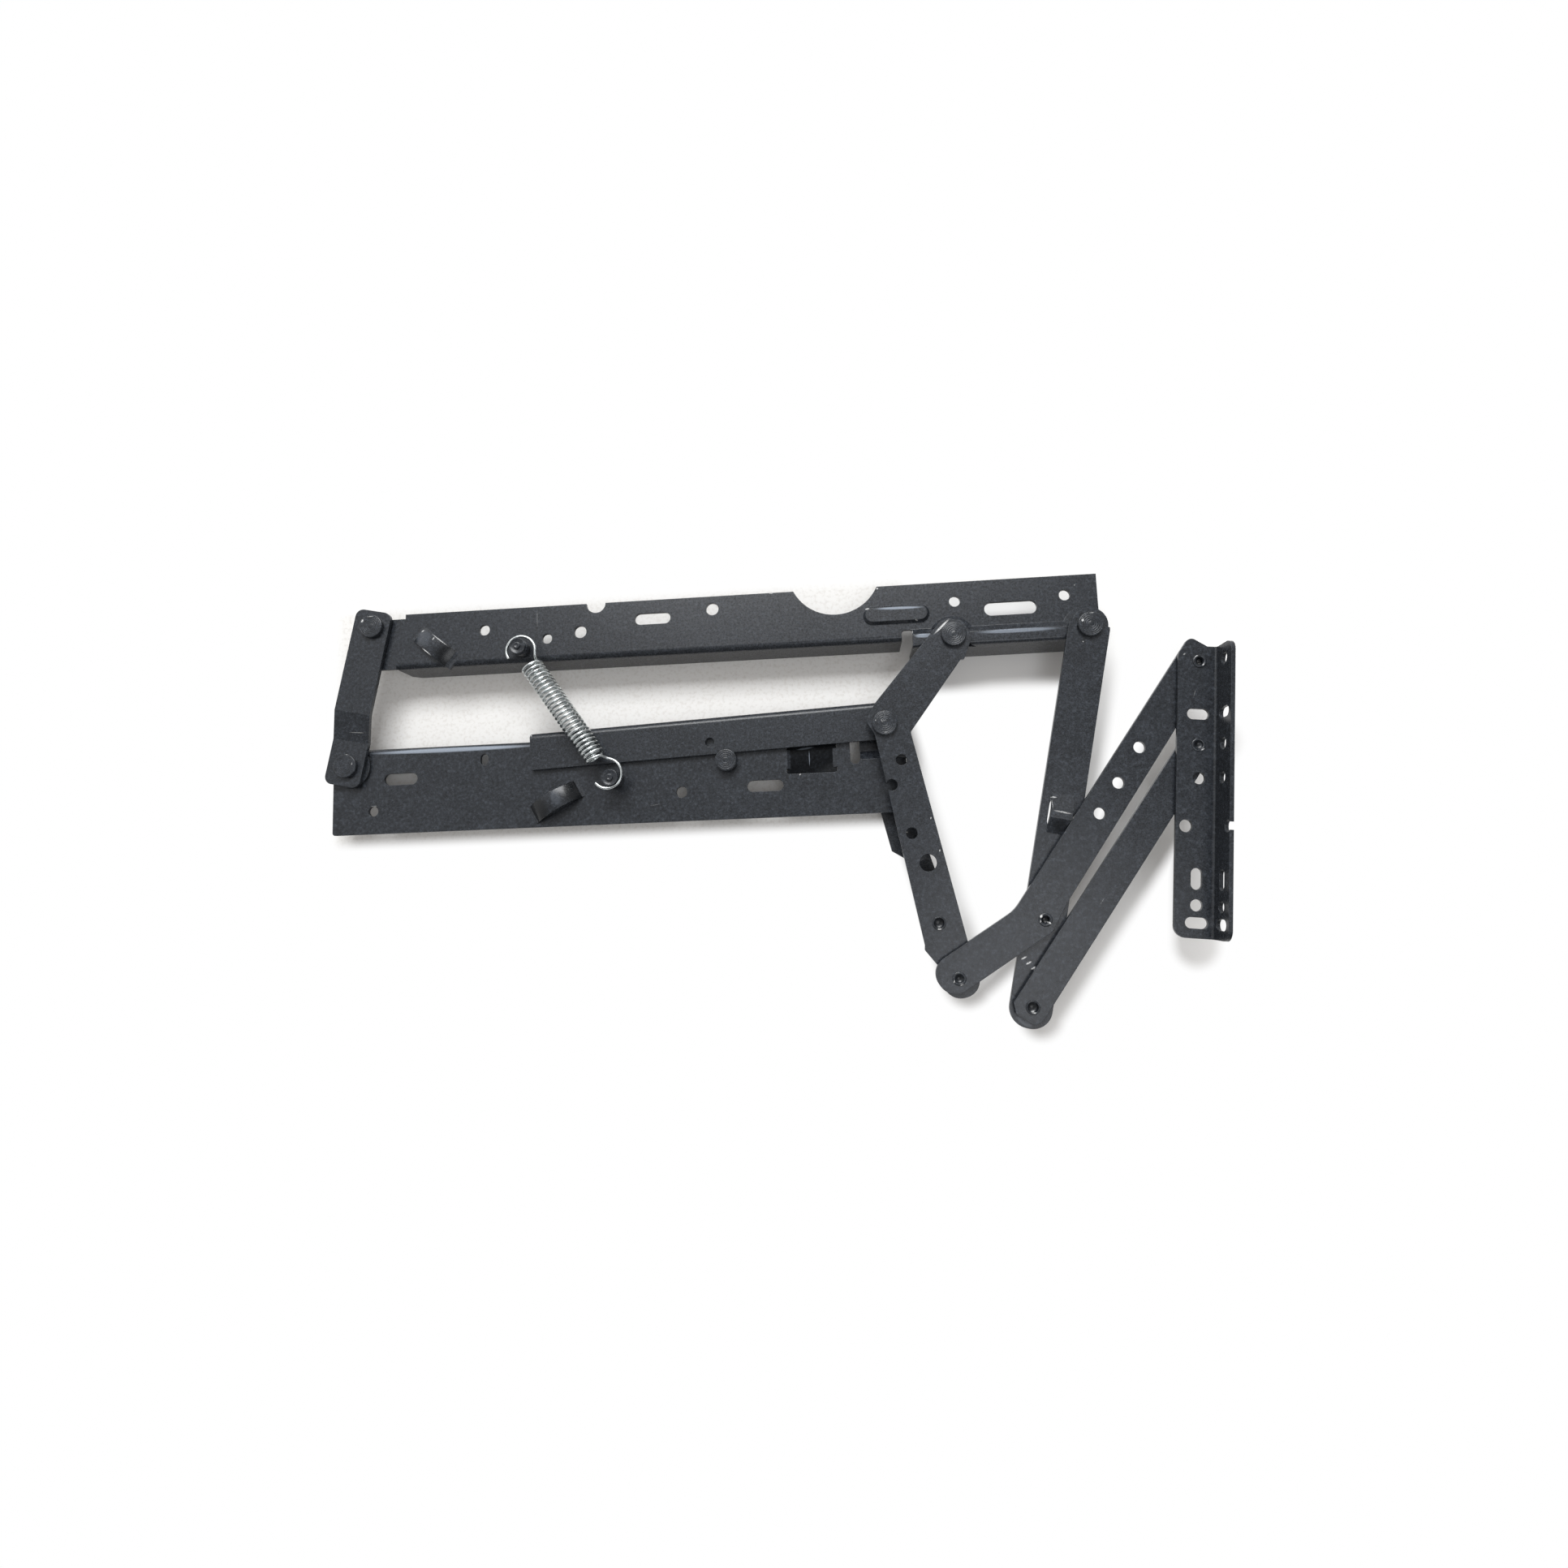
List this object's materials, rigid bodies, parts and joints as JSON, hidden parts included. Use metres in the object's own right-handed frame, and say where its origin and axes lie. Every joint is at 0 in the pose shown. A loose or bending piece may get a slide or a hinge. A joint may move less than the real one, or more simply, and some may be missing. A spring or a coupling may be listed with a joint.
{
  "type": "recliner mechanism",
  "caption": "Side linkage of a reclining chair: base rail, seat rail, bell-crank and footrest links that unfold together, with a return spring.",
  "frame": {"origin": "centre of the base rail's rear fixing hole, on the back face of its web", "axes": "+X along the base rail towards the footrest, +Y up when the chair stands, +Z out of the chair's side, towards the faces seen in the picture"},
  "size_m": [0.6072, 0.3001, 0.0651],
  "materials": {
    "black_coat": "satin black powder coat on pressed steel",
    "black_rivet": "black coated steel rivet, worn bright at its rim",
    "black_washer": "black coated steel washer",
    "zinc_wire": "bright zinc plated spring wire"
  },
  "bodies": {
    "base_rail": {"base_rail": "black_coat", "lower_spring_stud": "black_rivet", "guide_pin": "black_rivet", "rear_base_rivet": "black_rivet", "rear_base_washer": "black_washer", "main_pivot_rivet": "black_rivet", "main_spacer": "black_washer", "main_bush": "black_washer", "main_back_washer": "black_washer"},
    "rear_link": {"rear_link": "black_coat", "rear_seat_rivet_front": "black_rivet"},
    "bell_crank": {"bell_crank": "black_coat", "bell_crank_cheek": "black_coat", "cheek_rivet": "black_rivet", "crank_foot_rivet_back": "black_rivet", "crank_foot_washer": "black_washer"},
    "support_bar": {"support_bar": "black_coat"},
    "seat_rail": {"seat_rail": "black_coat", "upper_spring_stud": "black_rivet", "rear_seat_rivet_back": "black_rivet", "rear_seat_washer": "black_washer", "crank_seat_rivet": "black_rivet", "crank_seat_washer": "black_washer", "front_seat_rivet": "black_rivet", "front_seat_washer": "black_washer"},
    "front_link": {"front_link": "black_coat", "cross_rivet": "black_rivet", "cross_washer": "black_washer", "front_foot_rivet": "black_rivet", "front_foot_washer": "black_washer"},
    "bent_link": {"bent_link": "black_coat", "crank_foot_rivet_front": "black_rivet", "bracket_top_rivet": "black_rivet", "bracket_top_washer": "black_washer"},
    "straight_link": {"straight_link": "black_coat", "bracket_low_rivet_back": "black_rivet", "bracket_low_washer": "black_washer"},
    "footrest_bracket": {"footrest_bracket": "black_coat", "bracket_low_rivet_front": "black_rivet"},
    "spring_sleeve": {"spring_sleeve": "black_washer"},
    "return_spring": {"return_spring": "zinc_wire"}
  },
  "joints": [
    {"name": "crank_on_base", "type": "hinge", "parent": "base_rail", "child": "bell_crank", "pos_m": [0.3585, 0.042, 0.0166], "axis": [0, 0, 1], "range_deg": [0, 78]},
    {"name": "rear_link_on_base", "type": "hinge", "parent": "base_rail", "child": "rear_link", "pos_m": [-0.017, 0.032, 0.0061], "axis": [0, 0, 1], "range_deg": [0, 60.94]},
    {"name": "seat_rail_on_crank", "type": "hinge", "parent": "bell_crank", "child": "seat_rail", "pos_m": [0.407, 0.0995, 0.0145], "axis": [0, 0, 1], "range_deg": [-73.18, 0]},
    {"name": "front_link_on_seat_rail", "type": "hinge", "parent": "seat_rail", "child": "front_link", "pos_m": [0.496, 0.101, 0.0166], "axis": [0, 0, 1], "range_deg": [0, 85.23]},
    {"name": "bent_link_on_front_link", "type": "hinge", "parent": "front_link", "child": "bent_link", "pos_m": [0.453, -0.0895, 0.0207], "axis": [0, 0, 1], "range_deg": [-102.12, 0]},
    {"name": "straight_link_on_front_link", "type": "hinge", "parent": "front_link", "child": "straight_link", "pos_m": [0.4415, -0.1435, 0.0207], "axis": [0, 0, 1], "range_deg": [-99.6, 0]},
    {"name": "bracket_on_bent_link", "type": "hinge", "parent": "bent_link", "child": "footrest_bracket", "pos_m": [0.5605, 0.071, 0.0245], "axis": [0, 0, 1], "range_deg": [0, 101.02]},
    {"name": "spring_swing", "type": "hinge", "parent": "base_rail", "child": "spring_sleeve", "pos_m": [0.1733, 0.0142, 0.018], "axis": [0, 0, 1], "range_deg": [0, 31.91]},
    {"name": "spring_stretch", "type": "slide", "parent": "spring_sleeve", "child": "return_spring", "axis": [-0.5569, 0.8306, 0], "range_m": [0, 0.0595], "deforming": ["return_spring"]},
    {"name": "support_bar_on_base", "type": "hinge", "parent": "base_rail", "child": "support_bar", "pos_m": [0.3585, 0.042, 0.00475], "axis": [0, 0, 1], "range_deg": [-6, 0]}
  ],
  "couplings": [
    {"joint": "rear_link_on_base", "follows": "crank_on_base", "ratio": 0.7811},
    {"joint": "seat_rail_on_crank", "follows": "crank_on_base", "ratio": -0.93804},
    {"joint": "front_link_on_seat_rail", "follows": "crank_on_base", "ratio": 1.0926},
    {"joint": "bent_link_on_front_link", "follows": "crank_on_base", "ratio": -1.3091},
    {"joint": "straight_link_on_front_link", "follows": "crank_on_base", "ratio": -1.2768},
    {"joint": "bracket_on_bent_link", "follows": "crank_on_base", "ratio": 1.295},
    {"joint": "spring_swing", "follows": "crank_on_base", "ratio": 0.40891},
    {"joint": "spring_stretch", "follows": "crank_on_base", "m_per_rad": 0.043632}
  ]
}
